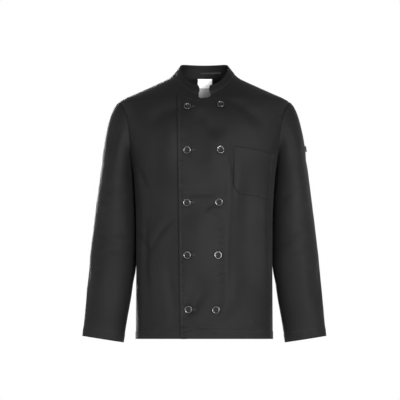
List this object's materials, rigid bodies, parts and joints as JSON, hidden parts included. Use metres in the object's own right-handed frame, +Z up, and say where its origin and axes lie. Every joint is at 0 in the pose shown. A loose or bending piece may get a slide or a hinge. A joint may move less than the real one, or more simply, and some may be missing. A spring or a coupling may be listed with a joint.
{
  "type": "chef jacket",
  "caption": "Black long-sleeved double-breasted chef jacket with a stand collar and a chest pocket, hollow and in its worn form with no wearer.",
  "frame": {"origin": "middle of the neck opening at the height of the nape seam, between the two side neck points, where a wearer's neck and shoulders hold the jacket up", "axes": "+Z up, the front faces -Y, +X is the wearer's left"},
  "size_m": [0.6766, 0.276, 0.7852],
  "materials": {
    "twill": "black poly-cotton twill, matt with a slight sheen",
    "tape": "dark woven tape",
    "label_white": "white woven label, bare",
    "label_grey": "grey satin tape, bare",
    "button": "polished black resin"
  },
  "bodies": {
    "root": {"back": "twill", "front_under": "twill", "front_upper": "twill", "sleeve_right": "twill", "sleeve_left": "twill", "collar": "twill", "pocket": "twill", "hanger_loop": "tape", "label_main": "label_white", "label_lower": "label_grey", "sleeve_tab": "tape", "button_fastened_1": "button", "button_fastened_2": "button", "button_fastened_3": "button", "button_fastened_4": "button", "button_fastened_5": "button", "button_spare_1": "button", "button_spare_2": "button", "button_spare_3": "button", "button_spare_4": "button", "button_spare_5": "button"}
  },
  "joints": []
}
